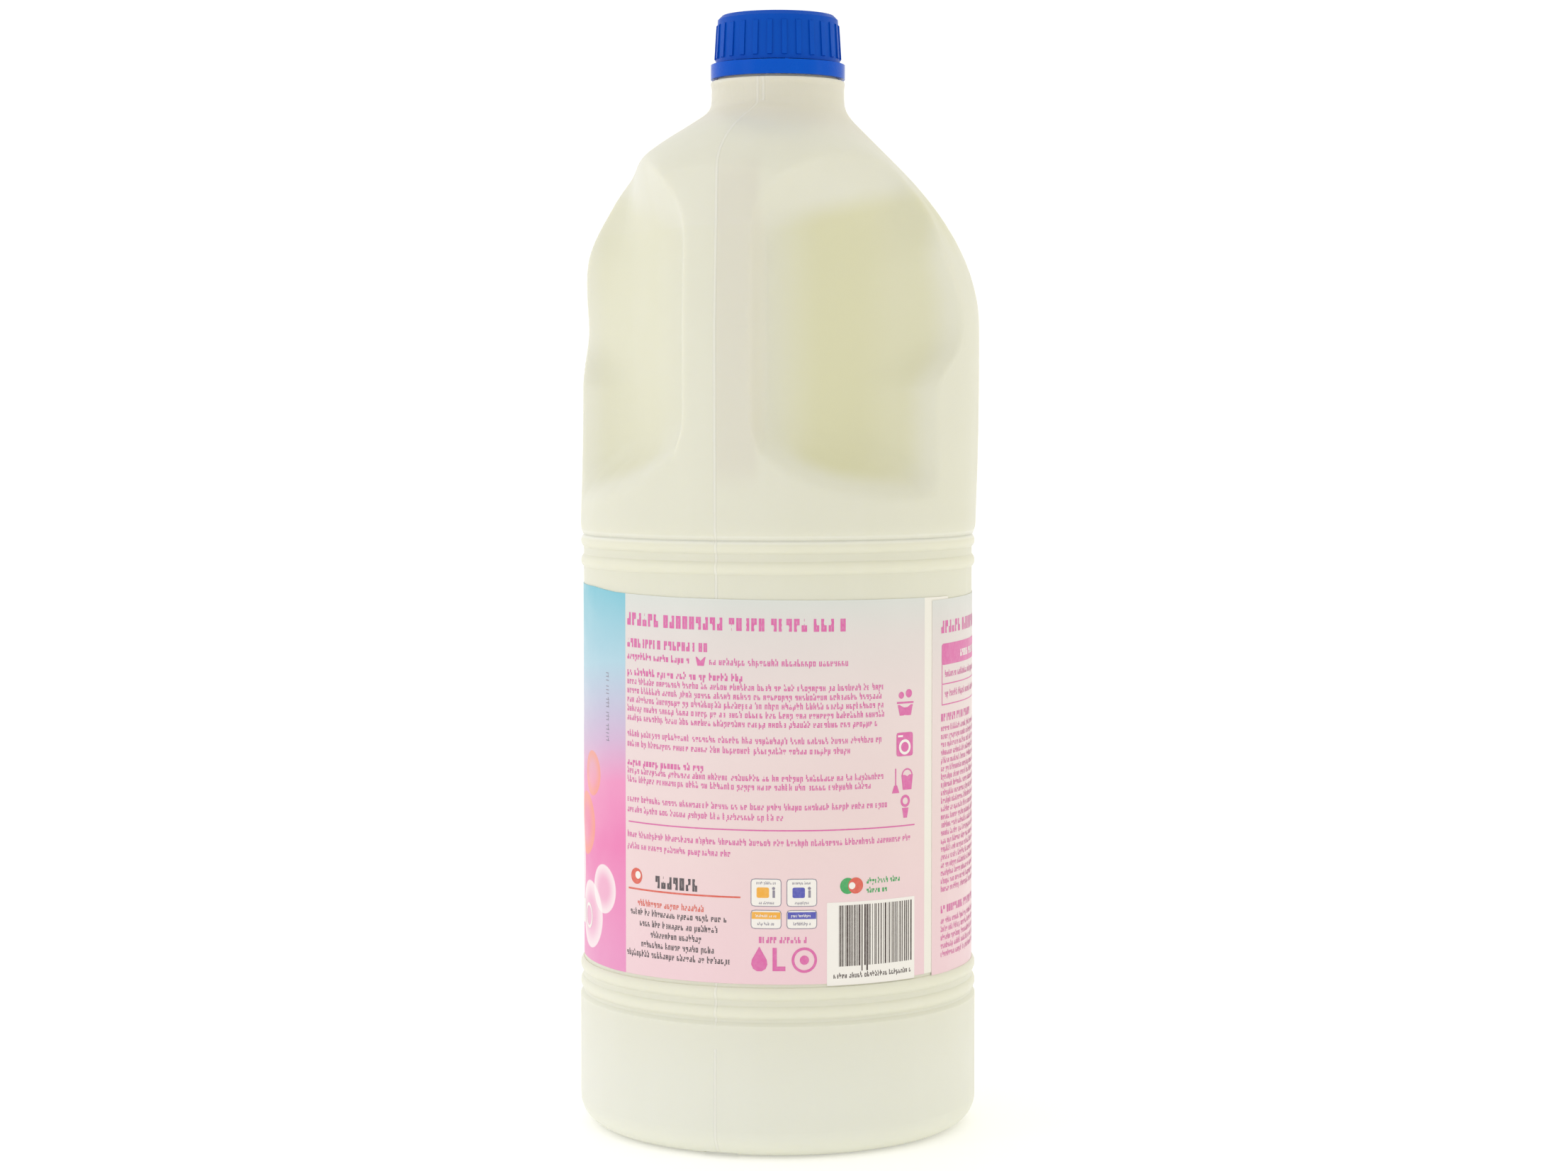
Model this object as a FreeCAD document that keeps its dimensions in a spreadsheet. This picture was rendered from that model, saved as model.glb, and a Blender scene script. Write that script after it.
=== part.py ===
import FreeCAD, Part
import math
import os
import Sketcher
import PartDesign
from FreeCAD import Vector, Placement, Rotation

# A two litre squeeze-grip bleach bottle, in millimetres, standing on Z = 0.
# The axis is Z. The back spine between the two hand grips faces -Y, and the
# plane where the two mould halves meet is X = 0.

doc = FreeCAD.newDocument("bottle")
sheet = doc.addObject("Spreadsheet::Sheet", "sizes")

SIZES = [
    # blown wall and the room kept round the liquid
    ("wall_thick", 0.9),
    ("foot_thick", 1.6),
    ("liquid_gap", 0.3),
    ("head_room", 56.9),
    # base
    ("foot_width", 3.7),
    ("corner_round", 7.0),
    ("push_up", 3.2),
    ("notch_wide", 9.5),
    ("notch_deep", 0.9),
    # widest radius, and how far the base, rings and label panel differ from it
    ("body_radius", 53.5),
    ("base_proud", 0.2),
    ("valley_deep", 0.6),
    ("panel_deep", 0.9),
    # heights up the lower body
    ("base_high", 34.6),
    ("base_bevel", 0.9),
    ("first_valley", 0.85),
    ("ring_high", 3.3),
    ("ring_round", 2.2),
    ("low_valley_high", 1.55),
    ("top_valley_high", 2.05),
    ("panel_high", 106.05),
    ("groove_high", 0.8),
    # upper body, from its lower edge up
    ("upper_high", 120.9),
    ("edge_drop", 0.5),
    ("edge_high", 2.2),
    ("shoulder_round", 21.0),
    ("collar_radius", 17.9),
    ("collar_flare", 1.4),
    ("collar_high", 7.6),
    ("grip_start", 9.3),
    ("grip_deep", 7.5),
    # neck and thread
    ("neck_step", 1.6),
    ("bead_proud", 0.7),
    ("bead_lift", 2.0),
    ("bead_high", 1.0),
    ("finish_step", 1.8),
    ("finish_lift", 2.6),
    ("finish_high", 11.1),
    ("neck_wall", 1.6),
    ("thread_lead", 4.0),
    ("thread_lift", 3.5),
    ("thread_rise", 5.6),
    ("thread_deep", 1.0),
    ("thread_root", 1.5),
    ("thread_crest", 0.7),
    # cap, liner and band
    ("thread_gap", 0.25),
    ("cap_wall", 1.05),
    ("cap_roof", 1.1),
    ("cap_draft", 0.6),
    ("cap_chamfer", 1.1),
    ("cap_lift", 0.25),
    ("rib_count", 27),
    ("rib_wide", 1.3),
    ("rib_proud", 0.35),
    ("liner_gap", 0.75),
    ("liner_thick", 0.9),
    ("band_proud", 0.2),
    ("band_lift", 0.7),
    ("band_gap", 0.3),
    ("bead_gap", 0.3),
    ("lip_gap", 0.25),
    ("bridge_count", 7),
    ("bridge_wide", 0.9),
    # label
    ("label_lift", 1.2),
    ("label_below", 6.25),
    ("label_thick", 0.15),
    ("label_drop", 1.1),
]


class Size:
    """A number with the sheet expression that it comes from."""

    def __init__(self, number, text):
        self.number = number
        self.text = text

    def join(self, other, sign, number):
        text = other.text if isinstance(other, Size) else repr(other)
        return Size(number, "(%s %s %s)" % (self.text, sign, text))

    def __add__(self, other):
        return self.join(other, "+", self.number + value(other))

    def __sub__(self, other):
        return self.join(other, "-", self.number - value(other))

    def __mul__(self, other):
        return self.join(other, "*", self.number * value(other))

    def __truediv__(self, other):
        return self.join(other, "/", self.number / value(other))


def value(item):
    return item.number if isinstance(item, Size) else float(item)


S = {}
for row, (name, number) in enumerate(SIZES, start=1):
    sheet.set("A%d" % row, name)
    sheet.set("B%d" % row, str(number))
    sheet.setAlias("B%d" % row, name)
    S[name] = Size(float(number), "sizes." + name)
doc.recompute()


# radii and heights that follow from the sizes above
S["base_radius"] = S["body_radius"] + S["base_proud"]
S["foot_radius"] = S["base_radius"] - S["corner_round"]
S["low_valley"] = S["body_radius"] - S["valley_deep"]
S["panel_radius"] = S["body_radius"] - S["panel_deep"]
S["low_ring_one"] = S["base_high"] + S["base_bevel"] + S["first_valley"]
S["low_ring_two"] = S["low_ring_one"] + S["ring_high"] + S["low_valley_high"]
S["panel_low"] = S["low_ring_two"] + S["ring_high"]
S["top_ring_one"] = S["panel_low"] + S["panel_high"]
S["top_ring_two"] = S["top_ring_one"] + S["ring_high"] + S["top_valley_high"]
S["groove_low"] = S["top_ring_two"] + S["ring_high"]
S["body_low"] = S["groove_low"] + S["groove_high"]
S["collar_top"] = S["body_low"] + S["upper_high"]
S["cone_top"] = S["collar_top"] - S["collar_high"]
S["cone_radius"] = S["collar_radius"] + S["collar_flare"]
S["grip_floor"] = S["body_radius"] - S["grip_deep"]
S["neck_radius"] = S["collar_radius"] - S["neck_step"]
S["bead_radius"] = S["neck_radius"] + S["bead_proud"]
S["bead_low"] = S["collar_top"] + S["bead_lift"]
S["finish_radius"] = S["neck_radius"] - S["finish_step"]
S["finish_low"] = S["bead_low"] + S["finish_lift"]
S["neck_top"] = S["finish_low"] + S["finish_high"]
S["bore_radius"] = S["finish_radius"] - S["neck_wall"]
S["low_bore"] = S["neck_radius"] - S["neck_wall"]
S["thread_low"] = S["finish_low"] + S["thread_lift"]
S["fill_level"] = S["neck_top"] - S["head_room"]
S["cap_bottom"] = S["finish_low"] + S["cap_lift"]
S["cap_inside"] = S["finish_radius"] + S["thread_deep"] + S["thread_gap"]
S["cap_radius"] = S["cap_inside"] + S["cap_wall"]
S["cap_top_radius"] = S["cap_radius"] - S["cap_draft"]
S["cap_top"] = S["neck_top"] + S["liner_thick"] + S["cap_roof"]
S["liner_radius"] = S["cap_inside"] - S["liner_gap"]
S["band_radius"] = S["collar_radius"] + S["band_proud"]
S["band_low"] = S["collar_top"] + S["band_lift"]
S["band_inside"] = S["bead_radius"] + S["bead_gap"]
S["lip_radius"] = S["neck_radius"] + S["lip_gap"]
S["label_low"] = S["panel_low"] + S["label_lift"]
S["label_high"] = S["panel_high"] - S["label_lift"] - S["label_below"]


def bind(thing, prop, size):
    thing.setExpression(prop, size.text)


def origin_item(body, role):
    for item in body.Origin.OriginFeatures:
        if item.Role == role:
            return item
    raise ValueError(role)


def new_sketch(body, name, role="XZ_Plane"):
    sketch = body.newObject("Sketcher::SketchObject", name)
    sketch.AttachmentSupport = (origin_item(body, role), "")
    sketch.MapMode = "FlatFace"
    return sketch


def pin_point(sketch, edge, end, x, y):
    """Hold one end of an edge at the two sizes given."""
    for kind, size in (("DistanceX", x), ("DistanceY", y)):
        number = value(size)
        if abs(number) < 1e-9:
            axis = -2 if kind == "DistanceX" else -1
            sketch.addConstraint(Sketcher.Constraint("PointOnObject", edge, end, axis))
            continue
        index = sketch.addConstraint(
            Sketcher.Constraint(kind, -1, 1, edge, end, number))
        if isinstance(size, Size):
            sketch.setExpression("Constraints[%d]" % index, size.text)


def arc_between(a, b, radius, side):
    """The short arc from a to b; side +1 bulges to the left of a to b."""
    mid = (a + b) * 0.5
    half = (b - a).Length / 2
    direction = (b - a).normalize()
    left = Vector(-direction.y, direction.x, 0)
    rise = radius - math.sqrt(max(radius * radius - half * half, 0.0))
    top = mid + left * (side * rise)
    return Part.Arc(a, top, b)


def draw_outline(sketch, points):
    """Closed outline; each point is (x, y) or (x, y, radius, side) for an arc to the next."""
    corners = [Vector(value(p[0]), value(p[1]), 0) for p in points]
    count = len(points)
    starts = []
    for i, point in enumerate(points):
        a = corners[i]
        b = corners[(i + 1) % count]
        if len(point) == 4:
            curve = arc_between(a, b, value(point[2]), point[3])
        else:
            curve = Part.LineSegment(a, b)
        edge = sketch.addGeometry(curve, False)
        end = 1
        if len(point) == 4:
            geometry = sketch.Geometry[edge]
            if (geometry.StartPoint - a).Length > (geometry.EndPoint - a).Length:
                end = 2
        starts.append((edge, end))
    for i, (edge, end) in enumerate(starts):
        following, start = starts[(i + 1) % count]
        sketch.addConstraint(
            Sketcher.Constraint("Coincident", edge, 3 - end, following, start))
    for i, (edge, end) in enumerate(starts):
        pin_point(sketch, edge, end, points[i][0], points[i][1])
        if len(points[i]) == 4 and isinstance(points[i][2], Size):
            index = sketch.addConstraint(
                Sketcher.Constraint("Radius", edge, value(points[i][2])))
            sketch.setExpression("Constraints[%d]" % index, points[i][2].text)


def turned_body(name, points):
    """A body turned about Z from an outline of radius and height."""
    body = doc.addObject("PartDesign::Body", name)
    sketch = new_sketch(body, name + "_outline")
    draw_outline(sketch, points)
    turn = body.newObject("PartDesign::Revolution", name + "_turn")
    turn.Profile = sketch
    turn.ReferenceAxis = (sketch, ["V_Axis"])
    turn.Angle = 360
    sketch.Visibility = False
    body.Tip = turn
    doc.recompute()
    return body


def add_thread(body, root, crest, low):
    """A helical thread from the root radius to the crest radius."""
    sketch = new_sketch(body, body.Name + "_thread_outline")
    half_root = S["thread_root"] / 2
    half_crest = S["thread_crest"] / 2
    outline = [
        (root, low - half_root),
        (crest, low - half_crest),
        (crest, low + half_crest),
        (root, low + half_root),
    ]
    draw_outline(sketch, outline)
    helix = body.newObject("PartDesign::AdditiveHelix", body.Name + "_thread")
    helix.Profile = sketch
    helix.ReferenceAxis = (sketch, ["V_Axis"])
    helix.Mode = 0
    bind(helix, "Pitch", S["thread_lead"])
    bind(helix, "Height", S["thread_rise"])
    sketch.Visibility = False
    body.Tip = helix
    doc.recompute()


# The formula of the upper body

SPINE_SLOPE = 0.354    # shoulder fall per mm of radius above the spine
FRONT_SLOPE = 1.0      # the same round the front
FRONT_ANGLE = 88.0     # degrees from the spine where the plain front starts
BARREL_HIGH = 46.0     # height of the widest place over the upper body's lower edge
SWELL = [(0, 0.4), (76, -0.9), (110, 1.2), (180, 0.4)]    # swelling there by angle


def soft_min(a, b, width):
    part = max(width - abs(a - b), 0.0) / width
    return min(a, b) - part * part * width / 4


def soft_max(a, b, width):
    return -soft_min(-a, -b, width)


def between(x, points, ease=0.0):
    """Interpolation in a short list of (x, y): straight, or eased at the points."""
    if x <= points[0][0]:
        return points[0][1]
    for (x0, y0), (x1, y1) in zip(points, points[1:]):
        if x <= x1:
            part = (x - x0) / (x1 - x0)
            part += ease * (part * part * (3 - 2 * part) - part)
            return y0 + (y1 - y0) * part
    return points[-1][1]


def plain_radius(angle, z):
    """Radius of the body with no grips, angle in degrees from the spine."""
    part = min(abs(angle) / FRONT_ANGLE, 1.0)
    slope = SPINE_SLOPE + (FRONT_SLOPE - SPINE_SLOPE) * part ** 1.5
    swell = between(abs(angle), SWELL)
    cone = value(S["cone_radius"]) - 2 * part + (value(S["cone_top"]) - z) / slope
    above = z - value(S["body_low"])
    high = (above - BARREL_HIGH) / (BARREL_HIGH if above < BARREL_HIGH else 60.0)
    side = value(S["body_radius"]) + swell * (1 - min(high * high, 1.5))
    side -= max(above - 55, 0) * 0.045 * (1 - part)
    radius = soft_min(cone, side, value(S["shoulder_round"]))
    radius = soft_max(radius, value(S["collar_radius"]), 3)
    edge = max(1 - above / value(S["edge_high"]), 0)
    return radius - value(S["edge_drop"]) * edge * edge


# The grip's far wall by height, and its sill and roof by sideways distance from
# the middle of the spine. Heights are over the upper body's lower edge.
FAR_WALL = [(38, 18.5), (54, 5), (74, 13.5), (88, 10), (100, 6)]
SILL = [(9, 28), (12, 21.5), (16, 18.5), (22.6, 14.5), (32, 11), (41, 9.6), (47, 9.6),
        (50, 12), (52, 16)]
ROOF = [(9, 82), (13.3, 89), (18.3, 94.3), (22.9, 97.7), (26.3, 100), (30, 101)]


def grip_floor(across, above):
    """How far the grip's floor lies towards the spine side, from the axis."""
    flat = value(S["grip_floor"]) - 0.12 * (across - value(S["grip_start"]))
    fall = value(S["grip_floor"]) - 2.5 - 1.05 * (across - 15.5)
    fall -= max(above - 70, 0) * 0.3 * min(max((across - 24) / 14, 0), 1)
    far = between(above, FAR_WALL, 0.7) - 0.33 * (across - 50)
    return soft_max(soft_min(flat, fall, 6), far, 6)


def body_radius_at(angle, z):
    """Radius of the body with its two grips."""
    radius = plain_radius(angle, z)
    angle = abs(angle)
    if angle < 6 or angle > 100:
        return radius
    turn = math.radians(angle)
    above = z - value(S["body_low"])
    across = radius * math.sin(turn)
    low, high = 10.0, value(S["body_radius"]) + 6.5
    for step in range(26):
        middle = (low + high) / 2
        if middle * math.cos(turn) > grip_floor(middle * math.sin(turn), above):
            high = middle
        else:
            low = middle
    depth = radius - low
    depth = soft_min(depth, (across - value(S["grip_start"])) * 2.6, 5)
    depth = soft_min(depth, (above - between(across, SILL)) * 1.0, 5)
    depth = soft_min(depth, (between(across, ROOF) - above) * 0.8, 5)
    return radius - max(soft_max(depth, 0, 2.0), 0)


def half_angles():
    angles = [0, 3, 6, 8, 9, 9.8, 10.6, 11.4, 12.2, 13, 14, 15.5, 17.5]
    angles += [20 + 2.5 * i for i in range(13)]
    angles += [52 + 1.6 * i for i in range(26)]
    angles += [96 + 6 * i for i in range(14)]
    return angles


def skin_point(angle, z, inward, level):
    """A point of the body moved inward along the surface, or only sideways if level."""
    def place(a, h):
        r = body_radius_at(a, h)
        t = math.radians(a)
        return Vector(r * math.sin(t), -r * math.cos(t), h)
    here = place(angle, z)
    if inward == 0:
        return here
    along = place(angle + 0.4, z) - place(angle - 0.4, z)
    up = place(angle, z + 0.3) - place(angle, z - 0.3)
    normal = along.cross(up).normalize()
    if level:
        normal = Vector(normal.x, normal.y, 0).normalize()
    return here - normal * inward


def skin_solid(heights, inward):
    """A closed solid inside the body's skin, flat at its lowest and highest row."""
    half = half_angles()
    angles = [-a for a in reversed(half)] + half[1:]
    rows = []
    for angle in angles:
        line = []
        for i, z in enumerate(heights):
            level = i == 0 or i == len(heights) - 1
            line.append(skin_point(angle, z, inward, level))
        rows.append(line)
    # the seam lies at the front, where both ends are the same line
    front = []
    for i, z in enumerate(heights):
        level = i == 0 or i == len(heights) - 1
        front.append(skin_point(180, z, inward, level))
    rows = [list(front)] + rows + [list(front)]
    surface = Part.BSplineSurface()
    surface.interpolate(rows)
    surface.setUPeriodic()
    face = surface.toShape()
    ends = []
    for edge in face.Edges:
        if len(edge.Vertexes) == 1:
            ends.append(Part.Face(Part.Wire([edge])))
    shell = Part.makeShell([face] + ends)
    shell.sewShape()
    solid = Part.makeSolid(shell)
    if solid.Volume < 0:
        solid.reverse()
    return solid


def heights_between(low, high):
    """Rows of the skin: close at the edges of the grips, the shoulder and the neck."""
    rows = [low]
    z = low
    while z < high - 1e-6:
        above = z - value(S["body_low"])
        if above < value(S["edge_high"]):
            z += 0.4
        elif 102 < above < 117:
            z += 1.2
        else:
            z += 1.6
        rows.append(z)
    if rows[-1] - high > 1e-6 or high - rows[-2] < 0.4:
        rows.pop()
    if abs(rows[-1] - high) > 1e-6:
        if high - rows[-1] < 0.25:
            rows[-1] = high
        else:
            rows.append(high)
    return rows


# Bottle

plug = 4.0             # how far the lower body runs up inside the upper body
wall = S["wall_thick"]
ring = S["ring_round"]
ring_up = S["ring_high"]
axis_end = S["body_low"] + plug

lower = turned_body("lower_body", [
    (0, S["push_up"]),
    (S["foot_radius"] - S["foot_width"], 0),
    (S["foot_radius"], 0, S["corner_round"], -1),
    (S["base_radius"], S["corner_round"]),
    (S["base_radius"], S["base_high"]),
    (S["low_valley"], S["base_high"] + S["base_bevel"]),
    (S["low_valley"], S["low_ring_one"], ring, -1),
    (S["low_valley"], S["low_ring_one"] + ring_up),
    (S["low_valley"], S["low_ring_two"], ring, -1),
    (S["low_valley"], S["low_ring_two"] + ring_up),
    (S["panel_radius"], S["panel_low"]),
    (S["panel_radius"], S["top_ring_one"], ring, -1),
    (S["panel_radius"], S["top_ring_one"] + ring_up),
    (S["panel_radius"], S["top_ring_two"], ring, -1),
    (S["panel_radius"], S["groove_low"]),
    (S["panel_radius"], axis_end),
    (0, axis_end),
])

upper = doc.addObject("Part::Feature", "upper_body")
upper.Shape = skin_solid(
    heights_between(value(S["body_low"]), value(S["collar_top"])), 0)

neck_root = S["neck_radius"]
neck = turned_body("neck", [
    (0, S["collar_top"] - 5),
    (neck_root, S["collar_top"] - 5),
    (neck_root, S["bead_low"]),
    (S["bead_radius"], S["bead_low"] + 0.3),
    (S["bead_radius"], S["bead_low"] + S["bead_high"]),
    (neck_root - 0.3, S["bead_low"] + S["bead_high"] + 0.8),
    (S["finish_radius"], S["finish_low"]),
    (S["finish_radius"], S["neck_top"]),
    (0, S["neck_top"]),
])
add_thread(neck, S["finish_radius"] - 0.3, S["finish_radius"] + S["thread_deep"], S["thread_low"])

notch = doc.addObject("Part::Box", "foot_notch")
bind(notch, "Length", S["notch_wide"])
notch.setExpression("Width", "sizes.body_radius * 2 + 20")
bind(notch, "Height", S["notch_deep"] + 1)
notch.Placement.Base = Vector(0, 0, -1)
notch.setExpression("Placement.Base.x", "-sizes.notch_wide / 2")
notch.setExpression("Placement.Base.y", "-sizes.body_radius - 10")

outside = doc.addObject("Part::MultiFuse", "outside")
outside.Shapes = [lower, upper, neck]


def hollow_outline(gap, top):
    """Inside of the lower body, gap further in."""
    floor = S["foot_thick"] + gap
    rise = S["push_up"]
    side = wall + gap
    return [
        (0, rise + floor),
        (S["foot_radius"] - S["foot_width"], floor),
        (S["foot_radius"] - side, floor, S["corner_round"] - side, -1),
        (S["base_radius"] - side, floor + S["corner_round"] - side),
        (S["base_radius"] - side, S["base_high"] - 0.5),
        (S["low_valley"] - side, S["base_high"] + S["base_bevel"]),
        (S["low_valley"] - side, S["low_ring_two"] + ring_up - 0.6),
        (S["panel_radius"] - side, S["panel_low"]),
        (S["panel_radius"] - side, top),
        (0, top),
    ]


no_gap = S["liquid_gap"] * 0
hollow_low = turned_body("lower_hollow", hollow_outline(no_gap, axis_end + 1))

hollow_up = doc.addObject("Part::Feature", "upper_hollow")
hollow_up.Shape = skin_solid(
    heights_between(value(S["body_low"]) + 1.6, value(S["collar_top"]) - 1.4), value(wall))

bore = turned_body("bore", [
    (0, S["collar_top"] - 6),
    (S["low_bore"], S["collar_top"] - 6),
    (S["low_bore"], S["bead_low"] + S["bead_high"]),
    (S["bore_radius"], S["finish_low"] + 0.4),
    (S["bore_radius"], S["neck_top"] + 1),
    (0, S["neck_top"] + 1),
])

hollow = doc.addObject("Part::MultiFuse", "hollow")
hollow.Shapes = [hollow_low, hollow_up, bore]

shell = doc.addObject("Part::Cut", "bottle_shell")
shell.Base = outside
shell.Tool = hollow
bottle = doc.addObject("Part::Cut", "bottle")
bottle.Base = shell
bottle.Tool = notch

# Liquid

gap = S["liquid_gap"]
liquid_low = turned_body("liquid_low", hollow_outline(gap, axis_end + 0.6))
liquid_up = doc.addObject("Part::Feature", "liquid_up")
liquid_up.Shape = skin_solid(
    heights_between(value(S["body_low"]) + 1.9, value(S["fill_level"])),
    value(wall) + value(gap))
liquid = doc.addObject("Part::MultiFuse", "bleach_fill")
liquid.Shapes = [liquid_low, liquid_up]

# Cap

cap = turned_body("cap", [
    (0, S["neck_top"] + S["liner_thick"]),
    (S["cap_inside"], S["neck_top"] + S["liner_thick"]),
    (S["cap_inside"], S["cap_bottom"]),
    (S["cap_radius"], S["cap_bottom"]),
    (S["cap_top_radius"], S["cap_top"] - S["cap_chamfer"]),
    (S["cap_top_radius"] - S["cap_chamfer"], S["cap_top"]),
    (0, S["cap_top"]),
])
add_thread(cap, S["cap_inside"] + 0.3, S["cap_inside"] - S["thread_deep"] - 0.05,
           S["thread_low"] - S["thread_lead"] / 2)

rib_sketch = new_sketch(cap, "rib_outline")
rib_low = S["cap_bottom"] + 1.2
rib_high = S["cap_top"] - 2.2
draw_outline(rib_sketch, [
    (S["cap_radius"] - 0.4, rib_low - 0.3),
    (S["cap_radius"] + S["rib_proud"], rib_low),
    (S["cap_top_radius"] + S["rib_proud"] + 0.05, rib_high - 0.5),
    (S["cap_top_radius"] - 0.3, rib_high),
])
rib = cap.newObject("PartDesign::Pad", "rib")
rib.Profile = rib_sketch
bind(rib, "Length", S["rib_wide"])
rib.Midplane = True
rib_sketch.Visibility = False
doc.recompute()
ribs = cap.newObject("PartDesign::PolarPattern", "ribs")
ribs.Originals = [rib]
ribs.Axis = (origin_item(cap, "Z_Axis"), [""])
ribs.Angle = 360
bind(ribs, "Occurrences", S["rib_count"])
cap.Tip = ribs
doc.recompute()

# Tamper band

band_top = S["cap_bottom"] - S["band_gap"]
band = turned_body("tamper_band", [
    (S["lip_radius"], S["band_low"]),
    (S["band_radius"], S["band_low"]),
    (S["band_radius"], band_top),
    (S["cap_radius"] - 0.55, band_top),
    (S["cap_radius"] - 0.55, band_top - 0.4),
    (S["band_inside"], band_top - 1.1),
    (S["band_inside"], S["band_low"] + 1.1),
    (S["lip_radius"], S["band_low"] + 0.5),
])
bridge_sketch = new_sketch(band, "bridge_outline", "YZ_Plane")
draw_outline(bridge_sketch, [
    (S["cap_radius"] - 0.4, band_top - 0.2),
    (S["cap_radius"] - 0.05, band_top - 0.2),
    (S["cap_radius"] - 0.05, S["cap_bottom"]),
    (S["cap_radius"] - 0.4, S["cap_bottom"]),
])
bridge = band.newObject("PartDesign::Pad", "bridge")
bridge.Profile = bridge_sketch
bind(bridge, "Length", S["bridge_wide"])
bridge.Midplane = True
bridge_sketch.Visibility = False
doc.recompute()
bridges = band.newObject("PartDesign::PolarPattern", "bridges")
bridges.Originals = [bridge]
bridges.Axis = (origin_item(band, "Z_Axis"), [""])
bridges.Angle = 360
bind(bridges, "Occurrences", S["bridge_count"])
band.Tip = bridges
doc.recompute()

# Liner

liner = doc.addObject("Part::Cylinder", "cap_liner")
bind(liner, "Radius", S["liner_radius"])
bind(liner, "Height", S["liner_thick"])
bind(liner, "Placement.Base.z", S["neck_top"])

# Label

# The film is wrapped once round. Its over end lies on the under end and hangs
# a little lower, so the back part is cut by planes tilted towards that end.
UNDER_END = 72.0       # degrees from the spine, towards +X
OVER_END = 66.8
FAR_JOINT = OVER_END + 180
LAP_BACK = 76.0        # where the over end comes down onto the bottle


def sector(name, inner, outer, start, end, low, high):
    """Part of a tube from start to end degrees, measured from the spine."""
    outer_tube = doc.addObject("Part::Cylinder", name + "_outer")
    inner_tube = doc.addObject("Part::Cylinder", name + "_inner")
    for tube, size in ((outer_tube, outer), (inner_tube, inner)):
        bind(tube, "Radius", size)
        bind(tube, "Height", high - low)
        tube.Angle = end - start if tube is outer_tube else 360
        bind(tube, "Placement.Base.z", low)
    outer_tube.Placement.Rotation = Rotation(Vector(0, 0, 1), start - 90)
    cut = doc.addObject("Part::Cut", name)
    cut.Base = outer_tube
    cut.Tool = inner_tube
    return cut


def tilted_slab(name):
    """The tilted band of height that holds the back part of the film."""
    slab = doc.addObject("Part::Cylinder", name)
    bind(slab, "Radius", S["body_radius"] * 1.7)
    bind(slab, "Height", S["label_high"])
    tilt = math.degrees(math.atan2(value(S["label_drop"]) / 2, value(S["panel_radius"])))
    turn = math.radians(OVER_END - 90)
    lean = Vector(-math.sin(turn), math.cos(turn), 0)
    slab.Placement = Placement(
        Vector(0, 0, value(S["label_low"]) - value(S["label_drop"]) / 2),
        Rotation(lean, tilt))
    return slab


film = S["label_thick"]
low_end = S["label_low"]
high_end = S["label_low"] + S["label_high"]
first = sector("label_front", S["panel_radius"], S["panel_radius"] + film,
               FAR_JOINT - 360, UNDER_END, low_end, high_end)
second = sector("label_back", S["panel_radius"], S["panel_radius"] + film,
                UNDER_END, FAR_JOINT, low_end - 5, high_end + 5)
lap = sector("label_lap", S["panel_radius"] + film, S["panel_radius"] + film * 2,
             OVER_END, LAP_BACK, low_end - 5, high_end + 5)
back = doc.addObject("Part::MultiFuse", "label_over")
back.Shapes = [second, lap]
back_cut = doc.addObject("Part::Common", "label_over_cut")
back_cut.Base = back
back_cut.Tool = tilted_slab("label_slab")
label = doc.addObject("Part::MultiFuse", "label")
label.Shapes = [first, back_cut]

doc.recompute()

# The parts

NODES = [
    (bottle, "bottle"),
    (cap, "cap"),
    (band, "tamper_band"),
    (liner, "cap_liner"),
    (label, "label"),
    (liquid, "bleach_fill"),
]
for thing, name in NODES:
    if thing.Label != name:
        thing.Label = name

for thing in doc.Objects:
    if "Invalid" in thing.State or "Error" in thing.State:
        raise RuntimeError("%s did not build" % thing.Name)
for thing, name in NODES:
    if thing.Shape.isNull() or not thing.Shape.isValid() or len(thing.Shape.Solids) != 1:
        raise RuntimeError("%s is not one valid solid" % name)

os.makedirs("parts", exist_ok=True)
for thing, name in NODES:
    thing.Shape.exportStep(os.path.join("parts", name + ".step"))
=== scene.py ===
import math
import random

import bpy
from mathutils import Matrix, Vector


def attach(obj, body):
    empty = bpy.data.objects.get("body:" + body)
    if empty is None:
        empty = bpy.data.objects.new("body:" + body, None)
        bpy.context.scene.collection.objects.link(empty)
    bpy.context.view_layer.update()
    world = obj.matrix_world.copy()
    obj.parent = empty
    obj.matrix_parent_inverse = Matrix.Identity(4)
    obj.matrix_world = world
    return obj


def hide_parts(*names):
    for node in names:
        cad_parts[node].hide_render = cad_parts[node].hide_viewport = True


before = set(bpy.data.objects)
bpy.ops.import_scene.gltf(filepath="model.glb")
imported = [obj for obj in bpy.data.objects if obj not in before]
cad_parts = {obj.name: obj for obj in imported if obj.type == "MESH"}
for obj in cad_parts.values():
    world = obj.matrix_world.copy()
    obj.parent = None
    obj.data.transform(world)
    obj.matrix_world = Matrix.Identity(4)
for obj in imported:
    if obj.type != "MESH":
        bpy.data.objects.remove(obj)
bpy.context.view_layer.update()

# colours


def linear(r, g, b):
    """A display colour of 0 to 255 as the scene's linear colour."""
    out = []
    for c in (r, g, b):
        c /= 255
        out.append(c / 12.92 if c <= 0.04045 else ((c + 0.055) / 1.055) ** 2.4)
    return (*out, 1.0)


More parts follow.
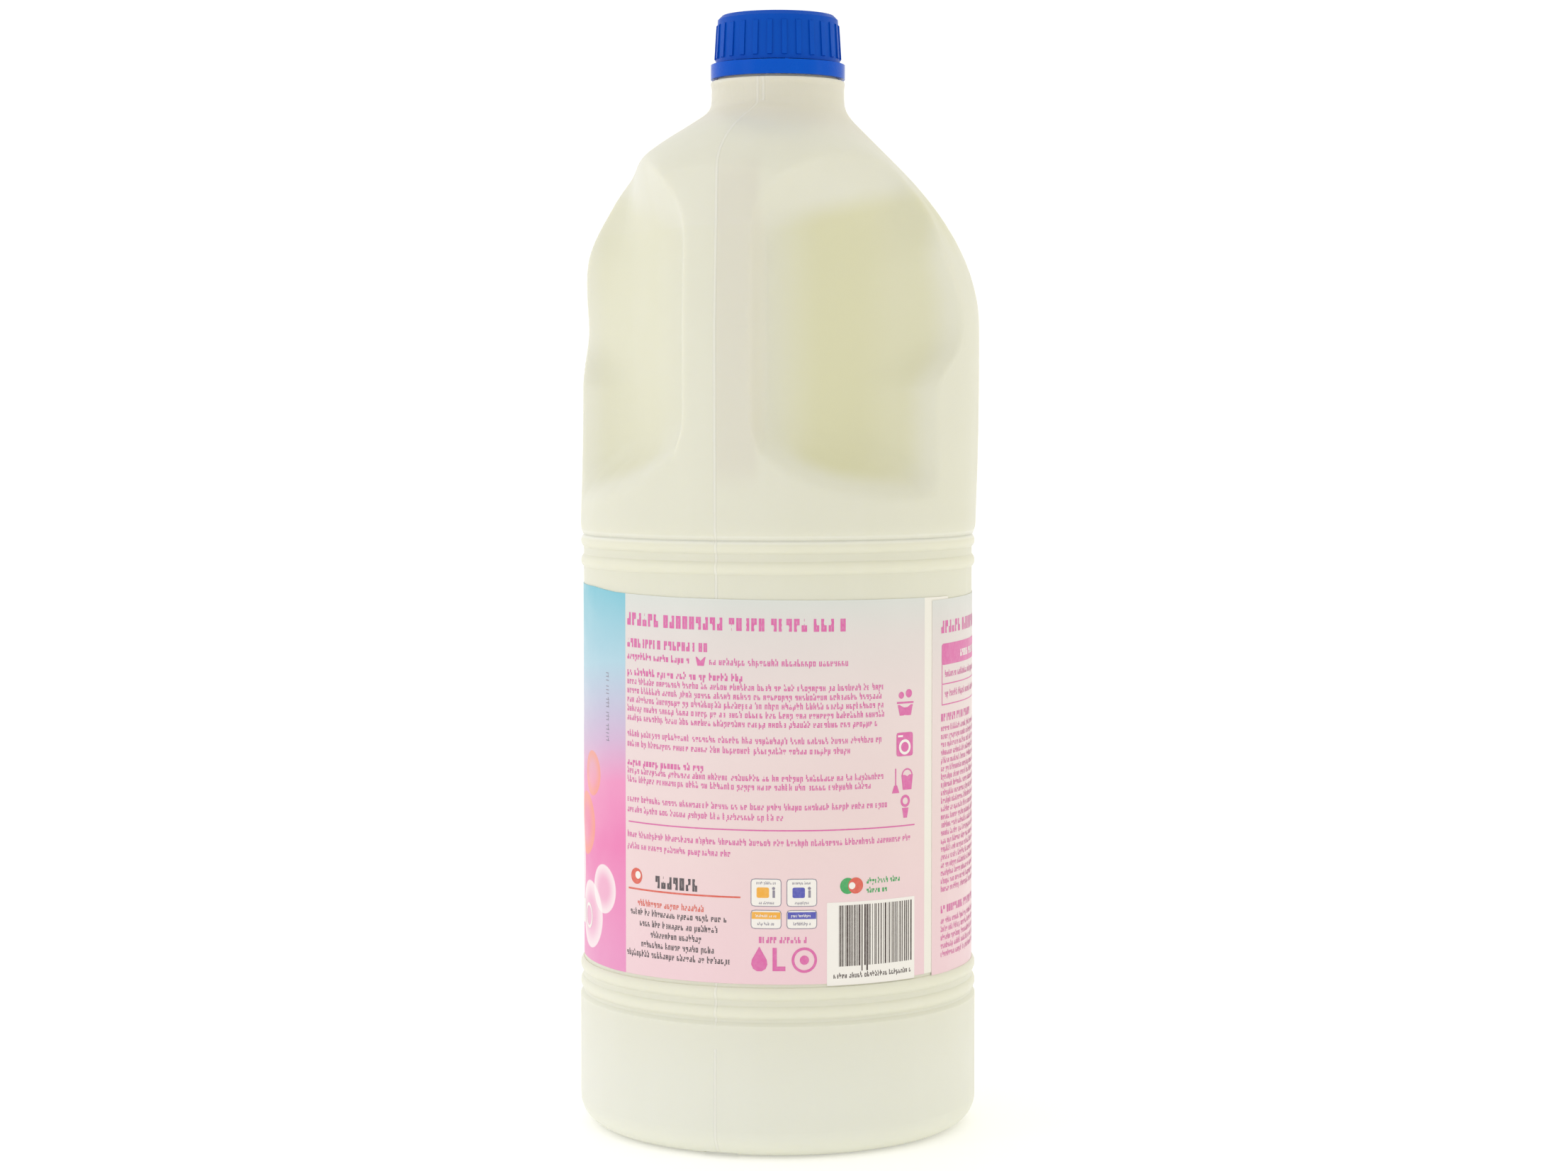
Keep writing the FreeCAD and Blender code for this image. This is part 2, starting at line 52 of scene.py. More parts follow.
class Graph:
    """A small builder for node materials."""

    def __init__(self, name):
        self.material = bpy.data.materials.new(name)
        self.material.use_nodes = True
        self.tree = self.material.node_tree
        self.tree.nodes.clear()
        self.out = self.tree.nodes.new("ShaderNodeOutputMaterial")
        self.shader = self.tree.nodes.new("ShaderNodeBsdfPrincipled")
        self.tree.links.new(self.shader.outputs[0], self.out.inputs["Surface"])
        coord = self.tree.nodes.new("ShaderNodeTexCoord")
        self.place = coord.outputs["Object"]

    def feed(self, socket, item):
        if isinstance(item, bpy.types.NodeSocket):
            self.tree.links.new(item, socket)
        else:
            socket.default_value = item

    def math(self, kind, a, b=None):
        node = self.tree.nodes.new("ShaderNodeMath")
        node.operation = kind
        self.feed(node.inputs[0], a)
        if b is not None:
            self.feed(node.inputs[1], b)
        return node.outputs[0]

    def add(self, a, b):
        return self.math("ADD", a, b)

    def sub(self, a, b):
        return self.math("SUBTRACT", a, b)

    def mul(self, a, b):
        return self.math("MULTIPLY", a, b)

    def less(self, a, b):
        return self.math("LESS_THAN", a, b)

    def more(self, a, b):
        return self.math("GREATER_THAN", a, b)

    def split(self, vector):
        node = self.tree.nodes.new("ShaderNodeSeparateXYZ")
        self.feed(node.inputs[0], vector)
        return node.outputs

    def join(self, x, y, z):
        node = self.tree.nodes.new("ShaderNodeCombineXYZ")
        for socket, item in zip(node.inputs, (x, y, z)):
            self.feed(socket, item)
        return node.outputs[0]

    def noise(self, scale, detail=2.0, rough=0.5, vector=None):
        node = self.tree.nodes.new("ShaderNodeTexNoise")
        self.feed(node.inputs["Vector"], vector or self.place)
        node.inputs["Scale"].default_value = scale
        node.inputs["Detail"].default_value = detail
        node.inputs["Roughness"].default_value = rough
        return node.outputs[0]

    def ramp(self, value, low, high, to_low=0.0, to_high=1.0, smooth=True):
        """Runs from to_low at low to to_high at high, and stays level outside."""
        node = self.tree.nodes.new("ShaderNodeMapRange")
        node.interpolation_type = "SMOOTHSTEP" if smooth else "LINEAR"
        self.feed(node.inputs["Value"], value)
        node.inputs["From Min"].default_value = low
        node.inputs["From Max"].default_value = high
        node.inputs["To Min"].default_value = to_low
        node.inputs["To Max"].default_value = to_high
        return node.outputs[0]

    def mix(self, part, a, b):
        node = self.tree.nodes.new("ShaderNodeMix")
        node.data_type = "RGBA"
        self.feed(node.inputs[0], part)
        self.feed(node.inputs[6], a)
        self.feed(node.inputs[7], b)
        return node.outputs[2]

    def stops(self, value, colours):
        """A colour ramp; colours is a list of (position, colour)."""
        node = self.tree.nodes.new("ShaderNodeValToRGB")
        self.feed(node.inputs[0], value)
        ramp = node.color_ramp
        ramp.elements[0].position, ramp.elements[0].color = colours[0]
        ramp.elements[1].position, ramp.elements[1].color = colours[-1]
        for position, colour in colours[1:-1]:
            ramp.elements.new(position).color = colour
        return node.outputs[0]

    def bump(self, height, strength=0.8):
        """Small relief; height is in metres."""
        node = self.tree.nodes.new("ShaderNodeBump")
        self.feed(node.inputs["Height"], height)
        node.inputs["Strength"].default_value = strength
        node.inputs["Distance"].default_value = 1.0
        return node.outputs[0]

    def finish(self, colour, rough, normal=None, **plain):
        """Feeds the shader; plain holds its other sockets, with _ for a space."""
        self.feed(self.shader.inputs["Base Color"], colour)
        self.feed(self.shader.inputs["Roughness"], rough)
        if normal is not None:
            self.feed(self.shader.inputs["Normal"], normal)
        for name, number in plain.items():
            self.shader.inputs[name.replace("_", " ")].default_value = number
        return self.material


# bottle

# Heights above the foot and distances from the axis or from X = 0, in metres.
LIQUID_LINE = 0.2395
POCKET_FLOOR = 0.164
WALL_FAR, WALL_NEAR = 0.0515, 0.0455
SPINE_SIDE = 0.009
RING_CREASE = 0.1594
COLLAR_START = 0.2745
LINE_HALF, LINE_FADE = 0.0002, 0.0005
SECOND_LINE = 0.0016
LINE_GAP = (0.0285, 0.0345)


def bottle_plastic():
    """Milky plastic: streaks, the liquid behind it with painted shade in the pockets, painted
    shade on one face of the spine, painted light at the foot and over the upper ring, specks and
    the mould line.
    """
    g = Graph("bottle_plastic")
    x, y, z = g.split(g.place)
    radius = g.math("SQRT", g.add(g.mul(x, x), g.mul(y, y)))
    cloud = g.noise(14, 3, 0.55)
    streak = g.noise(1.0, 2, 0.5, g.join(g.mul(x, 70), g.mul(y, 70), g.mul(z, 6)))
    pale = g.mix(cloud, linear(233, 231, 212), linear(228, 225, 203))
    pale = g.mix(g.ramp(streak, 0.45, 0.7, 0, 0.2), pale, linear(236, 233, 216))
    # the liquid shows a yellower tone where the wall comes close to the axis; this darker tone
    # is also painted shade in the pockets, weaker in the left pocket, which faces the light
    off_line = g.math("ABSOLUTE", x)
    top = g.add(g.mul(off_line, 0.33), LIQUID_LINE)
    liquid_tint_and_pocket_shade = g.mul(g.ramp(radius, WALL_FAR, WALL_NEAR),
                 g.ramp(z, POCKET_FLOOR, POCKET_FLOOR + 0.012))
    liquid_tint_and_pocket_shade = g.mul(liquid_tint_and_pocket_shade, g.ramp(off_line, SPINE_SIDE, SPINE_SIDE + 0.015))
    # painted shade: the left pocket, turned to the light, gets less of the darker tone than the
    # right one
    liquid_tint_and_pocket_shade = g.mul(liquid_tint_and_pocket_shade, g.ramp(x, -0.012, 0.004, 0.42, 1.0))
    liquid_tint_and_pocket_shade = g.mul(liquid_tint_and_pocket_shade, g.ramp(x, 0.029, 0.040, 1.0, 0.72))
    liquid_tint_and_pocket_shade = g.mul(liquid_tint_and_pocket_shade, g.ramp(g.sub(top, z), -0.001, 0.007))
    tone = g.mix(g.mul(liquid_tint_and_pocket_shade, 0.75), pale, linear(218, 214, 168))
    wet = g.ramp(z, LIQUID_LINE - 0.0003, LIQUID_LINE + 0.0007, 0.08, 0.0)
    tone = g.mix(wet, tone, linear(222, 221, 176))
    warm = g.mul(g.ramp(z, 0.255, 0.270), g.ramp(radius, 0.040, 0.024))
    tone = g.mix(g.mul(warm, 0.3), tone, linear(224, 212, 196))
    # painted shade: the spine's face on the +X side, turned from the light, is darker and warmer
    # than the other
    spine_shaded_face = g.mul(g.ramp(x, 0.0, 0.0006), g.ramp(x, 0.0125, 0.0095))
    spine_shaded_face = g.mul(spine_shaded_face, g.less(y, -0.030))
    spine_shaded_face = g.mul(spine_shaded_face, g.mul(g.ramp(z, 0.170, 0.180), g.ramp(z, 0.262, 0.250)))
    tone = g.mix(g.mul(spine_shaded_face, 0.5), tone, linear(220, 213, 196))
    # painted light: the plastic is lightened towards the foot, against the shade near the floor
    tone = g.mix(g.ramp(z, 0.052, 0.012, 0.0, 0.45), tone, linear(241, 243, 231))
    # light passes through the narrow crease over the upper ring
    crease = g.ramp(g.math("ABSOLUTE", g.sub(z, RING_CREASE)), 0.0005, 0.0014, 0.45, 0.0)
    tone = g.mix(crease, tone, linear(255, 255, 244))
    # a few specks in the plastic
    cells = g.tree.nodes.new("ShaderNodeTexVoronoi")
    cells.feature = "F1"
    g.feed(cells.inputs["Vector"], g.place)
    cells.inputs["Scale"].default_value = 42
    speck = g.less(cells.outputs["Distance"], 0.016)
    tone = g.mix(g.mul(speck, 0.75), tone, linear(120, 125, 110))
    # mould line at X = 0, broken near the foot, with a second line beside it on the collar
    line = g.ramp(off_line, LINE_HALF, LINE_FADE, 1, 0)
    second = g.ramp(g.math("ABSOLUTE", g.sub(x, SECOND_LINE)), LINE_HALF, LINE_FADE, 1, 0)
    collar = g.mul(second, g.more(z, COLLAR_START))
    gap = g.mul(g.more(z, LINE_GAP[0]), g.less(z, LINE_GAP[1]))
    line = g.mul(g.math("MAXIMUM", line, collar), g.sub(1.0, gap))
    tone = g.mix(g.mul(line, 0.45), tone, linear(243, 240, 228))
    fine = g.add(g.mul(g.noise(420, 2, 0.6), 0.00003), g.mul(line, 0.00013))
    fine = g.add(fine, g.mul(g.noise(26, 2, 0.5), 0.00025))
    normal = g.bump(fine, 0.9)
    rough = g.ramp(g.noise(60, 3, 0.6), 0.3, 0.7, 0.36, 0.46)
    return g.finish(tone, rough, normal, IOR=1.5, Subsurface_Weight=0.25,
                    Subsurface_Radius=(1.0, 0.9, 0.6), Subsurface_Scale=0.006,
                    Specular_IOR_Level=0.4)


# cap, band, liner


def blue_plastic(name, base, light, rough_low, rough_high):
    g = Graph(name)
    cloud = g.noise(60, 3, 0.6)
    colour = g.mix(cloud, base, light)
    fine = g.add(g.mul(g.noise(900, 2, 0.6), 0.00003), g.mul(g.noise(90, 2, 0.5), 0.00008))
    rough = g.ramp(g.noise(160, 3, 0.6), 0.3, 0.7, rough_low, rough_high)
    return g.finish(colour, rough, g.bump(fine), IOR=1.5, Subsurface_Weight=0.08,
                    Subsurface_Radius=(0.2, 0.4, 1.0), Subsurface_Scale=0.002,
                    Specular_IOR_Level=0.1)


def liner_foam():
    g = Graph("liner_foam")
    colour = g.mix(g.noise(300, 2), linear(235, 235, 232), linear(222, 222, 218))
    return g.finish(colour, 0.6, g.bump(g.mul(g.noise(1500, 2), 0.00006)))


def liquid():
    g = Graph("bleach_liquid")
    colour = g.mix(g.noise(8, 2), linear(232, 232, 170), linear(226, 228, 160))
    rough = g.ramp(g.noise(20, 2), 0.3, 0.7, 0.05, 0.1)
    return g.finish(colour, rough, None, IOR=1.34)


# label

# Heights are in mm above the foot; turns are in degrees round from the spine.
PANEL_START = -31.5
PANEL_END = 64.0
UNDER_END = 75.5        # the film's under end, which shows past its over end
OVER_END = 67.2
FILM = 52.6             # the inner radius of the film
THICK = 0.15            # the film's thickness
FACE = FILM + THICK
EASE = 3.0              # the over end comes down to the panel in this many degrees
LOW, TALL = 45.5, 98.8  # the film's lower edge at the spine, and its height there
BACK = 166.0            # where turns change from positive to negative on the film

# Round spots of the front picture: turn, height, radius, shade.
BUBBLES = ((-52.0, 96.0, 6.0, 0), (-59.0, 82.0, 8.5, 0), (-43.5, 66.0, 6.5, 1),
           (-54.0, 58.0, 9.0, 1), (-80.0, 70.0, 17.0, 1), (-116.0, 92.0, 21.0, 0),
           (-148.0, 72.0, 15.0, 1), (-98.0, 118.0, 8.0, 1), (-134.0, 122.0, 10.0, 0),
           (-166.0, 100.0, 9.0, 0), (-72.0, 112.0, 6.0, 1))


def turned(wide):
    """The turn, in degrees, that a width in mm takes on the film."""
    return math.degrees(wide / FACE)


def film():
    """The film's own colours: pale text grounds, and a sky with bubbles on the front."""
    g = Graph("label_film")
    x, y, zm = g.split(g.place)
    z = g.mul(zm, 1000.0)
    turn = g.mul(g.math("ARCTAN2", x, g.mul(y, -1.0)), 180 / math.pi)
    turn = g.sub(turn, g.mul(g.more(turn, BACK), 360.0))
    up = g.ramp(z, 45, 144.5, 0, 1, smooth=False)
    text_ground = g.stops(up, [
        (0.0, linear(235, 203, 210)), (0.35, linear(233, 209, 209)),
        (0.7, linear(230, 213, 212)), (0.9, linear(222, 214, 211)),
        (1.0, linear(214, 217, 212))])
    wave = g.add(z, g.mul(g.math("SINE", g.mul(turn, 0.05)), 3.0))
    wave = g.add(wave, g.mul(g.noise(18, 2), 8.0))
    sky = g.stops(g.ramp(wave, 49, 148, 0, 1, smooth=False), [
        (0.0, linear(228, 140, 190)), (0.30, linear(231, 120, 178)),
        (0.48, linear(232, 140, 188)), (0.60, linear(206, 176, 208)),
        (0.80, linear(170, 205, 220)), (1.0, linear(112, 190, 208))])
    shades = (linear(240, 150, 110), linear(244, 238, 236))
    for at_turn, at_z, size, kind in BUBBLES:
        across = g.mul(g.sub(turn, at_turn), math.pi / 180 * FACE)
        rise = g.sub(z, at_z)
        far = g.math("SQRT", g.add(g.mul(across, across), g.mul(rise, rise)))
        rim = g.ramp(far, size * 0.35, size, 0.35, 1.0)
        edge = g.ramp(far, size - 0.2, size + 0.2, 1, 0)
        sky = g.mix(g.mul(g.mul(edge, rim), 0.8), sky, shades[kind])
    colour = g.mix(g.less(turn, PANEL_START), text_ground, sky)
    margin = g.mul(g.more(turn, PANEL_END), g.less(turn, UNDER_END))
    radius = g.mul(g.math("SQRT", g.add(g.mul(x, x), g.mul(y, y))), 1000.0)
    margin = g.mul(margin, g.less(radius, FACE + 0.6 * THICK))
    colour = g.mix(margin, colour, linear(237, 233, 223))
    tint = g.ramp(g.noise(40, 3), 0.3, 0.7, 0.0, 0.05)
    colour = g.mix(tint, colour, linear(250, 246, 240))
    fine = g.add(g.mul(g.noise(700, 2), 0.00002), g.mul(g.noise(30, 2), 0.00022))
    rough = g.ramp(g.noise(120, 3), 0.3, 0.7, 0.34, 0.44)
    return g.finish(colour, rough, g.bump(fine), IOR=1.5, Specular_IOR_Level=0.4)


def ink(name, colour):
    """Print on the film: a little uneven, as gloss as the film."""
    g = Graph(name)
    worn = g.ramp(g.noise(900, 2, 0.6), 0.35, 0.75, 0.0, 0.22)
    shade = g.mix(worn, linear(*colour), linear(*[c + (240 - c) * 0.45 for c in colour]))
    rough = g.ramp(g.noise(120, 3), 0.3, 0.7, 0.34, 0.44)
    fine = g.mul(g.noise(30, 2), 0.00022)
    return g.finish(shade, rough, g.bump(fine), IOR=1.5, Specular_IOR_Level=0.4)


INKS = {
    "pink": ink("ink_pink", (216, 104, 166)),
    "white": ink("ink_white", (240, 236, 230)),
    "dark": ink("ink_dark", (84, 76, 80)),
    "red": ink("ink_red", (218, 98, 82)),
    "amber": ink("ink_amber", (238, 172, 62)),
    "violet": ink("ink_violet", (84, 86, 178)),
    "green": ink("ink_green", (70, 165, 95)),
    "bar": ink("ink_bar", (66, 52, 50)),
    "grey": ink("ink_grey", (140, 134, 150)),
}


def lap_part(turn):
    """1 where the film lies on its under end, easing to 0 beyond it."""
    if turn < OVER_END - 0.01:
        return 0.0
    return max(0.0, min(1.0, (UNDER_END + EASE - turn) / EASE))


# The film was put on a little askew: at each turn, its lower and upper edge.
FILM_EDGES = ((-292.8, 44.1, 143.0), (-240.0, 44.8, 143.9), (-180.0, 45.2, 145.0),
              (-80.0, 45.9, 146.1), (-50.0, 45.6, 145.9), (-36.0, 45.4, 145.0),
              (-13.0, 45.5, 144.5), (8.0, 45.5, 144.3), (28.0, 45.4, 144.1), (75.5, 45.3, 143.8))


def on_film(turn, z):
    """The height above the foot of a place on the film, in mm."""
    for (a, low_a, high_a), (b, low_b, high_b) in zip(FILM_EDGES, FILM_EDGES[1:]):
        if turn <= b:
            break
    part = max(0.0, min(1.0, (turn - a) / (b - a)))
    low = low_a + (low_b - low_a) * part
    high = high_a + (high_b - high_a) * part
    return low + (z - LOW) * (high - low) / TALL


class Print:
    """Flat marks of ink that follow the film; a mark of a higher level lies on a lower one."""

    INK = 0.03              # mm from the film to a mark of level 0
    LAYER = 0.015           # mm from one level to the next
    STRIP = 1.5             # degrees that one flat strip of a mark may span

    def __init__(self):
        self.points = []
        self.faces = []
        self.inks = []
        self.chance = random.Random(7)

    def point(self, turn, z, level):
        r = FACE + THICK * lap_part(turn) + (self.INK + self.LAYER * level)
        a = math.radians(turn)
        up = on_film(turn - 360 if turn > OVER_END else turn, z)
        self.points.append((r * math.sin(a) / 1000, -r * math.cos(a) / 1000, up / 1000))
        return len(self.points) - 1

    def patch(self, start, end, low, high, name, level=0):
        """A rectangle from turn start to end and height low to high."""
        steps = max(1, int((end - start) / self.STRIP))
        last = None
        for i in range(steps + 1):
            turn = start + (end - start) * i / steps
            pair = (self.point(turn, low, level), self.point(turn, high, level))
            if last:
                self.faces.append((last[0], pair[0], pair[1], last[1]))
                self.inks.append(name)
            last = pair

    def shape(self, turn, z, outline, name, level=0):
        """A small outline of (across, up) in mm about a place, as a fan of triangles."""
        ring = [self.point(turn + turned(x), z + y, level) for x, y in outline]
        middle = self.point(turn + turned(sum(p[0] for p in outline) / len(outline)),
                            z + sum(p[1] for p in outline) / len(outline), level)
        for a, b in zip(ring, ring[1:] + ring[:1]):
            self.faces.append((middle, a, b))
            self.inks.append(name)

    def field(self, turn, z, wide, tall, corner, name, level=0):
        """A wide rectangle with round corners, about a place; sizes in mm."""
        last = None
        count = max(8, int(wide))
        for i in range(count + 1):
            x = -math.cos(math.pi * i / count) * wide / 2
            into = max(0.0, corner - (wide / 2 - abs(x)))
            half = tall / 2 - corner + math.sqrt(max(0.0, corner * corner - into * into))
            at = turn + turned(x)
            pair = (self.point(at, z - half, level), self.point(at, z + half, level))
            if last:
                self.faces.append((last[0], pair[0], pair[1], last[1]))
                self.inks.append(name)
            last = pair

    def disc(self, turn, z, size, name, level=0):
        count = 28
        steps = [2 * math.pi * i / count for i in range(count)]
        self.shape(turn, z, [(size * math.cos(t), size * math.sin(t)) for t in steps],
                   name, level)

    def ring(self, turn, z, outer, inner, name, level=0, start=0, end=360):
        """A ring or, with start and end in degrees, part of one; radii in mm."""
        count = 36
        last = None
        for i in range(count + 1):
            t = math.radians(start + (end - start) * i / count)
            pair = [self.point(turn + turned(r * math.cos(t)), z + r * math.sin(t), level)
                    for r in (outer, inner)]
            if last:
                self.faces.append((last[1], last[0], pair[0], pair[1]))
                self.inks.append(name)
            last = pair

    def border(self, start, end, low, high, line, name, level=0):
        """The four sides of a rectangle; line is their width in mm."""
        side = turned(line)
        self.patch(start, end, low, low + line, name, level)
        self.patch(start, end, high - line, high, name, level)
        self.patch(start, start + side, low + line, high - line, name, level)
        self.patch(end - side, end, low + line, high - line, name, level)

    def sign(self, turn, z, wide, tall, pen, name, level):
        """A few strokes of a small mark that spells nothing; sizes in mm."""
        left, right = turn, turn + turned(wide)
        stem = turned(pen)
        half = z + tall / 2
        strokes = [(left, left + stem, z, half), (left, left + stem, half, z + tall),
                   (right - stem, right, z, half), (right - stem, right, half, z + tall),
                   (left + stem, right - stem, z, z + pen),
                   (left + stem, right - stem, half - pen / 2, half + pen / 2),
                   (left + stem, right - stem, z + tall - pen, z + tall)]
        for stroke in self.chance.sample(strokes, self.chance.choice((5, 5, 6))):
            self.patch(*stroke, name, level)

    def line(self, start, end, middle, tall, name, bold=False, capital=False, level=0):
        """A line of marks in groups; small marks are lower, and some reach up or down."""
        wide = tall * 0.43
        pen = tall * (0.2 if bold else 0.155)
        step = turned(wide + tall * 0.16)
        body = tall if capital else tall * 0.76
        base = middle - tall / 2
        turn = start
        while turn + step < end:
            for _ in range(self.chance.choice((2, 3, 4, 5, 5, 6, 7, 8, 9))):
                if turn + step * 0.9 > end:
                    break
                self.sign(turn, base, wide, body, pen, name, level)
                reach = self.chance.random()
                stem = turned(pen)
                if not capital and reach < 0.26:
                    self.patch(turn, turn + stem, base + body, base + tall * 1.1, name, level)
                elif not capital and reach > 0.92:
                    self.patch(turn, turn + stem, base - tall * 0.28, base, name, level)
                turn += step
            turn += step * 0.62

    def lines(self, start, end, last, top, space, count, tall, name="pink"):
        """A block of lines, each space mm under the one before; the last one ends at last."""
        for i in range(count):
            stop = last if i == count - 1 else end - self.chance.random() * 1.5
            self.line(start, stop, top - i * space, tall, name)

    def build(self, title):
        mesh = bpy.data.meshes.new(title)
        mesh.from_pydata(self.points, [], self.faces)
        names = sorted(set(self.inks))
        for name in names:
            mesh.materials.append(INKS[name])
        for face, name in zip(mesh.polygons, self.inks):
            face.material_index = names.index(name)
        piece = bpy.data.objects.new(title, mesh)
        bpy.context.collection.objects.link(piece)
        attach(piece, "bottle_body")
        return piece


def use_panel():
    """The back panel: lines of marks, small pictures, stripes and plain signs."""
    p = Print()
    p.line(-30.6, 37.5, 137.9, 3.3, "pink", bold=True, capital=True)
    p.line(-30.6, -2.3, 131.7, 2.3, "pink", bold=True, capital=True)
    p.line(-30.6, -7.0, 128.3, 1.7, "pink", bold=True)
    p.shape(-4.6, 128.2, [(-1.4, 1.1), (-0.9, -1.2), (0.9, -1.2), (1.4, 1.1), (1.1, 1.1),
                          (0.7, -0.9), (-0.7, -0.9), (-1.1, 1.1)], "pink")
    p.line(-2.0, 38.6, 128.2, 1.7, "pink")
    p.line(-30.6, 8.2, 124.2, 1.8, "pink", bold=True)
    p.lines(-30.6, 50.3, 47.0, 121.8, 2.35, 5, 1.6)
    p.lines(-30.6, 50.3, 39.0, 108.2, 2.6, 2, 1.6)
    p.line(-30.6, -3.3, 100.8, 1.8, "pink", bold=True)
    p.lines(-30.6, 50.3, 46.3, 98.6, 2.3, 2, 1.6)
    p.lines(-30.6, 50.3, 19.7, 91.2, 2.7, 2, 1.6)
    p.patch(-30.2, 59.9, 85.0, 85.35, "pink")
    p.lines(-30.6, 59.9, 4.4, 82.0, 3.0, 2, 1.6)
    # a basin, a drum machine, a bucket and a bowl as simple shapes
    p.shape(56.3, 115.4, [(-2.6, 1.3), (-1.9, -1.5), (1.9, -1.5), (2.6, 1.3)], "pink")
    p.patch(53.2, 59.4, 117.0, 117.5, "pink")
    p.disc(54.8, 119.2, 0.9, "pink")
    p.disc(57.6, 119.6, 1.1, "pink")
    p.field(56.1, 106.4, 5.6, 6.2, 0.6, "pink")
    p.disc(56.1, 105.7, 2.0, "white", 1)
    p.disc(56.1, 105.7, 1.3, "pink", 2)
    p.patch(53.6, 55.4, 108.3, 108.8, "white", 1)
    p.shape(57.0, 96.4, [(-2.0, 2.0), (-1.5, -1.9), (1.5, -1.9), (2.0, 2.0)], "pink")
    p.ring(57.0, 98.2, 1.9, 1.5, "pink", 0, 0, 180)
    p.patch(52.6, 53.0, 95.0, 100.2, "pink")
    p.shape(52.8, 95.0, [(-0.5, 0.8), (-1.2, -1.2), (1.2, -1.2), (0.5, 0.8)], "pink")
    p.ring(56.3, 91.6, 1.6, 0.9, "pink")
    p.shape(56.3, 88.6, [(-1.1, 1.2), (-0.6, -1.4), (0.6, -1.4), (1.1, 1.2)], "pink")
    # a plain round sign, its underline and the small dark lines below
    p.disc(-26.8, 71.2, 2.1, "red")
    p.disc(-26.2, 71.5, 1.0, "white", 1)
    p.patch(-30.2, 7.0, 67.6, 68.05, "red")
    p.line(-19.5, -3.6, 70.3, 3.2, "dark", bold=True, capital=True)
    for start, end, z, name in ((-26.3, -2.3, 64.4, "red"), (-29.3, 4.0, 62.0, "dark"),
                                (-25.5, 1.0, 59.2, "dark"), (-21.3, -3.1, 56.5, "dark"),
                                (-24.9, -0.2, 53.8, "dark"), (-30.9, 5.0, 51.2, "dark")):
        p.line(start, end, z, 1.6, name)
    # four small plain signs for sorting waste
    for at, z, tall, name in ((14.2, 69.2, 7.2, "amber"), (24.2, 69.2, 7.2, "violet"),
                              (14.2, 62.3, 4.9, "amber"), (24.2, 62.3, 4.9, "violet")):
        p.field(at, z, 7.9, tall, 0.8, "grey")
        p.field(at, z, 7.5, tall - 0.4, 0.65, "white", 1)
        if tall > 6:
            p.field(at - 0.9, z, 3.2, 2.7, 0.4, name, 2)
            p.disc(at + 2.1, z + 1.1, 0.4, "grey", 2)
            p.patch(at + 1.8, at + 2.5, z - 1.3, z + 0.6, "grey", 2)
            p.line(at - 2.7, at + 3.0, z + 2.5, 0.7, "grey", level=2)
            p.line(at - 2.0, at + 2.4, z - 2.6, 0.7, "grey", level=2)
        else:
            p.patch(at - 4.0, at + 4.0, z + 0.1, z + 1.9, name, 2)
            p.line(at - 3.0, at + 3.2, z + 0.95, 0.7, "white", level=3)
            p.line(at - 2.4, at + 2.7, z - 1.1, 0.8, "grey", level=2)
    p.line(12.2, 26.0, 57.0, 1.6, "pink", bold=True, capital=True)
    # a drop, a block and a ring in place of the big figures
    p.shape(12.3, 51.9, [(0.0, 3.4), (1.0, 1.6), (1.9, 0.0), (2.1, -1.2), (1.6, -2.4),
                         (0.6, -3.0), (-0.6, -3.0), (-1.6, -2.4), (-2.1, -1.2),
                         (-1.9, 0.0), (-1.0, 1.6)], "pink")
    p.patch(16.0, 17.2, 49.0, 55.0, "pink")
    p.patch(17.2, 19.6, 49.0, 50.2, "pink")
    p.ring(24.9, 51.8, 3.3, 2.6, "pink")
    p.disc(24.9, 51.8, 1.2, "pink")
    # a two-part plain sign on the right
    p.disc(37.4, 70.6, 2.1, "green")
    p.disc(39.8, 70.6, 2.1, "red", 1)
    p.disc(38.7, 70.6, 0.9, "white", 2)
    p.line(43.2, 54.6, 71.6, 1.4, "green", bold=True)
    p.line(43.2, 50.6, 69.2, 1.4, "green", bold=True)
    # plain stripes on a white field
    p.field(45.6, 55.7, 26.3, 21.5, 0.2, "white")
    turn = 34.8
    while turn < 58.6:
        wide = 0.17 * p.chance.choice((1, 1, 2, 2, 3))
        p.patch(turn, min(turn + wide, 58.8), 49.8 if p.chance.random() < 0.85 else 48.4,
                65.6, "bar", 1)
        turn += wide + 0.17 * p.chance.choice((1, 1, 2, 3))
    p.line(33.2, 58.8, 47.4, 1.3, "bar", level=1)
    return p.build("use_panel_print")


def safety_panel():
    """The next panel: a heading, a small table and close lines of marks."""
    p = Print()
    p.line(71.6, 128.0, 137.0, 3.3, "pink", bold=True, capital=True)
    p.field(115.0, 129.8, 79.5, 5.6, 0.9, "pink")
    p.line(84.0, 146.0, 129.4, 1.9, "white", bold=True, capital=True, level=1)
    p.border(71.9, 158.1, 116.4, 127.4, 0.3, "pink")
    p.patch(71.9, 158.1, 121.8, 122.1, "pink")
    p.line(73.6, 132.0, 124.6, 1.7, "pink")
    p.line(73.6, 150.0, 119.4, 1.7, "pink")
    p.line(71.6, 96.0, 113.2, 2.0, "pink", bold=True, capital=True)
    p.lines(71.6, 158.0, 130.0, 110.4, 2.12, 21, 1.5)
    p.line(71.6, 102.0, 62.6, 2.0, "pink", bold=True, capital=True)
    p.lines(71.6, 158.0, 118.0, 59.6, 2.2, 5, 1.5)
    return p.build("safety_panel_print")


